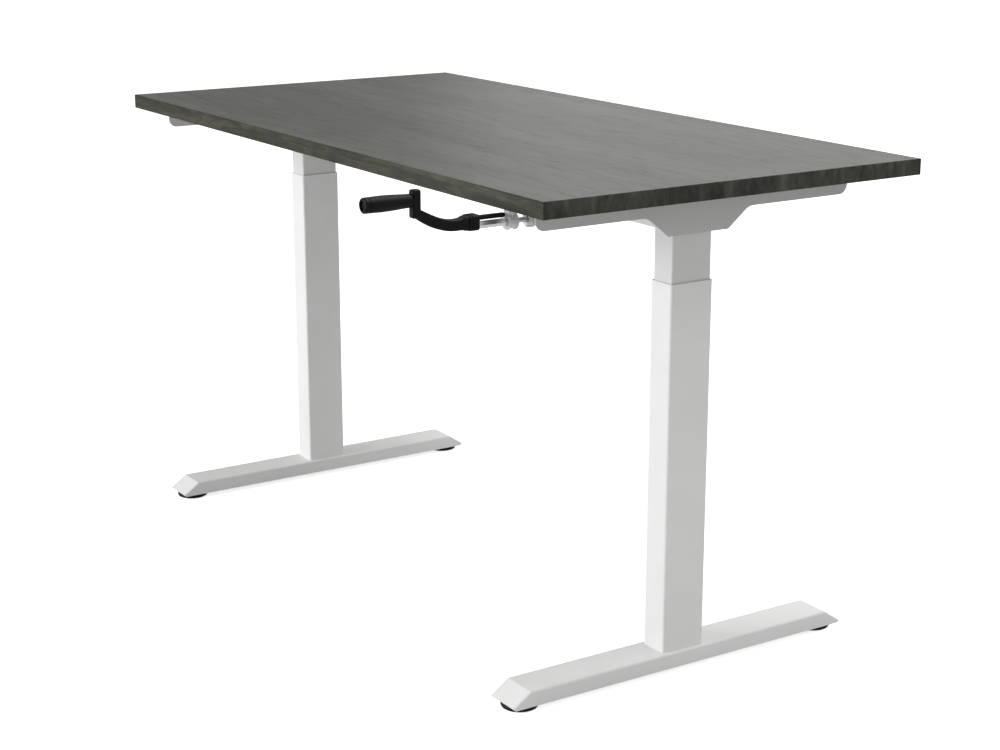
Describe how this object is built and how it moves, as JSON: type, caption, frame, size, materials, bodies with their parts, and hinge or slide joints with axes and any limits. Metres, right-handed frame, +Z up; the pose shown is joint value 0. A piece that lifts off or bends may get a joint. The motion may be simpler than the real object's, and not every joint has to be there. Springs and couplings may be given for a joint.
{
  "type": "height adjustable standing desk",
  "caption": "Standing desk with telescopic T-foot legs, dark wood laminate top and a hand crank under the front edge that raises and lowers it.",
  "frame": {"origin": "on the floor, in the middle of the whole object's plan, crank included", "axes": "+X to the user's right along the desktop, +Y away from the user, +Z up"},
  "size_m": [1.4, 0.9169, 0.8006],
  "materials": {
    "desk_laminate": "dark grey oak pattern melamine laminate, fine streaky grain along the length, satin",
    "edge_band": "plastic edge band printed with the same dark oak, darker and slightly olive",
    "white_steel": "white powder coat, semi-gloss, very fine orange peel",
    "cast_housing": "die-cast housing, light grey, fine sand texture",
    "zinc_steel": "bright zinc plated steel",
    "bearing_steel": "ground hardened steel with a film of grease",
    "bronze": "sintered bronze, oil impregnated",
    "glide_plastic": "natural acetal glide, matt",
    "crank_chrome": "polished chrome plated hexagonal tube",
    "clear_plastic": "milky translucent moulded plastic",
    "black_plastic": "black moulded nylon, fine satin texture",
    "leveller_plastic": "black moulded plastic foot, matt"
  },
  "bodies": {
    "base": {"right_foot": "white_steel", "left_foot": "white_steel", "right_column_tube": "white_steel", "left_column_tube": "white_steel", "column_base_plates": "zinc_steel", "nut_posts": "zinc_steel", "drive_nuts": "bronze", "column_glide_collars": "glide_plastic", "column_bolts": "zinc_steel", "leveller_nuts": "zinc_steel"},
    "lift": {"desktop_board": "desk_laminate", "front_edge_band": "edge_band", "rear_edge_band": "edge_band", "side_edge_bands": "edge_band", "right_inner_tube": "white_steel", "left_inner_tube": "white_steel", "inner_tube_glides": "glide_plastic", "right_gear_housing": "cast_housing", "left_gear_housing": "cast_housing", "gear_housing_covers": "cast_housing", "right_side_bracket": "white_steel", "left_side_bracket": "white_steel", "crossbar": "white_steel", "crossbar_end_plates": "white_steel", "crossbar_screws": "zinc_steel", "head_screws": "zinc_steel", "desktop_screws": "zinc_steel", "bearing_outer_rings": "bearing_steel", "bearing_balls": "bearing_steel", "crank_bush": "bronze", "cross_shaft_bushes": "bronze", "front_crank_bearing": "clear_plastic", "rear_crank_bearing": "clear_plastic", "crank_bearing_screws": "zinc_steel"},
    "crank": {"crank_rod": "zinc_steel", "crank_sleeve": "crank_chrome", "crank_hub": "black_plastic", "crank_tongue": "black_plastic", "crank_arm": "black_plastic", "grip_pin": "zinc_steel", "crank_pinion": "bearing_steel"},
    "grip": {"crank_grip": "black_plastic"},
    "cross_drive": {"cross_shaft": "zinc_steel", "right_cross_pinion": "bearing_steel", "left_cross_pinion": "bearing_steel"},
    "right_screw": {"right_lead_screw": "zinc_steel", "right_screw_gear": "bearing_steel", "right_bearing_inner_ring": "bearing_steel"},
    "left_screw": {"left_lead_screw": "zinc_steel", "left_screw_gear": "bearing_steel", "left_bearing_inner_ring": "bearing_steel"},
    "front_right_leveller": {"front_right_leveller_disc": "leveller_plastic", "front_right_leveller_stud": "zinc_steel"},
    "front_left_leveller": {"front_left_leveller_disc": "leveller_plastic", "front_left_leveller_stud": "zinc_steel"},
    "rear_right_leveller": {"rear_right_leveller_disc": "leveller_plastic", "rear_right_leveller_stud": "zinc_steel"},
    "rear_left_leveller": {"rear_left_leveller_disc": "leveller_plastic", "rear_left_leveller_stud": "zinc_steel"}
  },
  "joints": [
    {"name": "height_slide", "type": "slide", "parent": "base", "child": "lift", "axis": [0, 0, 1], "range_m": [-0.06, 0.39]},
    {"name": "crank_turn", "type": "hinge", "parent": "lift", "child": "crank", "pos_m": [0.59, -0.2, 0.741], "axis": [0, 1, 0], "range_deg": [-3601, 23401]},
    {"name": "grip_spin", "type": "hinge", "parent": "crank", "child": "grip", "pos_m": [0.59, -0.42, 0.7856], "axis": [0, 1, 0], "continuous": true},
    {"name": "cross_shaft_turn", "type": "hinge", "parent": "lift", "child": "cross_drive", "pos_m": [0, 0.088, 0.741], "axis": [1, 0, 0], "range_deg": [-3601, 23401]},
    {"name": "right_screw_turn", "type": "hinge", "parent": "lift", "child": "right_screw", "pos_m": [0.59, 0.088, 0.6], "axis": [0, 0, 1], "range_deg": [-14041, 2161]},
    {"name": "left_screw_turn", "type": "hinge", "parent": "lift", "child": "left_screw", "pos_m": [-0.59, 0.088, 0.6], "axis": [0, 0, 1], "range_deg": [-2161, 14041]},
    {"name": "front_right_leveller_slide", "type": "slide", "parent": "base", "child": "front_right_leveller", "axis": [0, 0, -1], "range_m": [0, 0.01]},
    {"name": "front_left_leveller_slide", "type": "slide", "parent": "base", "child": "front_left_leveller", "axis": [0, 0, -1], "range_m": [0, 0.01]},
    {"name": "rear_right_leveller_slide", "type": "slide", "parent": "base", "child": "rear_right_leveller", "axis": [0, 0, -1], "range_m": [0, 0.01]},
    {"name": "rear_left_leveller_slide", "type": "slide", "parent": "base", "child": "rear_left_leveller", "axis": [0, 0, -1], "range_m": [0, 0.01]}
  ],
  "couplings": [
    {"joint": "crank_turn", "follows": "height_slide", "rad_per_m": 1047.2},
    {"joint": "cross_shaft_turn", "follows": "height_slide", "rad_per_m": 1047.2},
    {"joint": "right_screw_turn", "follows": "height_slide", "rad_per_m": -628.32},
    {"joint": "left_screw_turn", "follows": "height_slide", "rad_per_m": 628.32}
  ]
}
